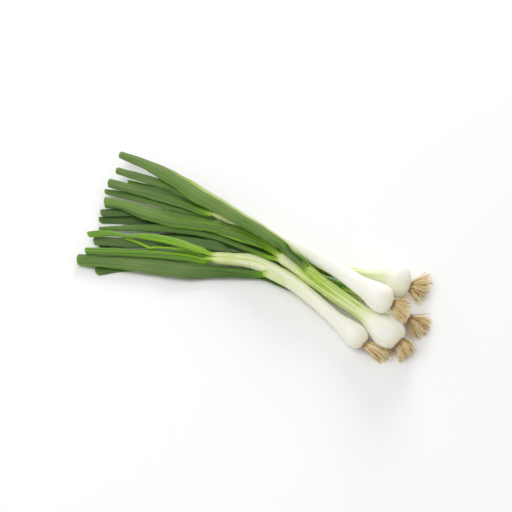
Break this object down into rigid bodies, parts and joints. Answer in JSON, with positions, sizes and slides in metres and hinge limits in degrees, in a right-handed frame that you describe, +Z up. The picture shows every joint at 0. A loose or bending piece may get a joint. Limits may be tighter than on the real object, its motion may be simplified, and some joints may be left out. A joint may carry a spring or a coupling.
{
  "type": "spring onion bunch",
  "caption": "Bunch of spring onions lying on a surface: white bulbs with root tufts at one end, pale stems, and a fan of flattened green leaves with square-cut ends at the other.",
  "frame": {"origin": "middle of the bounding box in plan, at the height of the surface that the bunch lies on", "axes": "+X along the bunch from the cut leaf ends towards the roots, +Z up"},
  "size_m": [0.3177, 0.1251, 0.0448],
  "materials": {
    "stem": "smooth, slightly glossy white skin that turns pale green towards the leaves",
    "roots": "dry straw-coloured root fibres",
    "leaf": "waxy mid-green leaf with fine lengthwise ribs",
    "leaf_bright": "waxy bright yellow-green young leaf",
    "leaf_bluish": "waxy blue-green leaf"
  },
  "bodies": {
    "root": {"onion_a_stem": "stem", "onion_a_roots": "roots", "onion_b_stem": "stem", "onion_b_roots": "roots", "onion_c_stem": "stem", "onion_c_roots": "roots", "onion_d_stem": "stem", "onion_d_roots": "roots", "onion_e_stem": "stem", "onion_e_roots": "roots", "onion_a_leaf_1": "leaf_bluish", "onion_a_leaf_2": "leaf_bluish", "onion_b_leaf_1": "leaf", "onion_b_leaf_2": "leaf_bright", "onion_b_leaf_3": "leaf", "onion_b_leaf_4": "leaf_bright", "onion_c_leaf_1": "leaf", "onion_c_leaf_2": "leaf", "onion_c_leaf_3": "leaf", "onion_d_leaf_1": "leaf", "onion_d_leaf_2": "leaf", "onion_d_leaf_3": "leaf_bright", "onion_d_leaf_4": "leaf_bluish", "onion_d_leaf_5": "leaf_bright", "onion_e_leaf_1": "leaf", "onion_e_leaf_2": "leaf"}
  },
  "joints": []
}
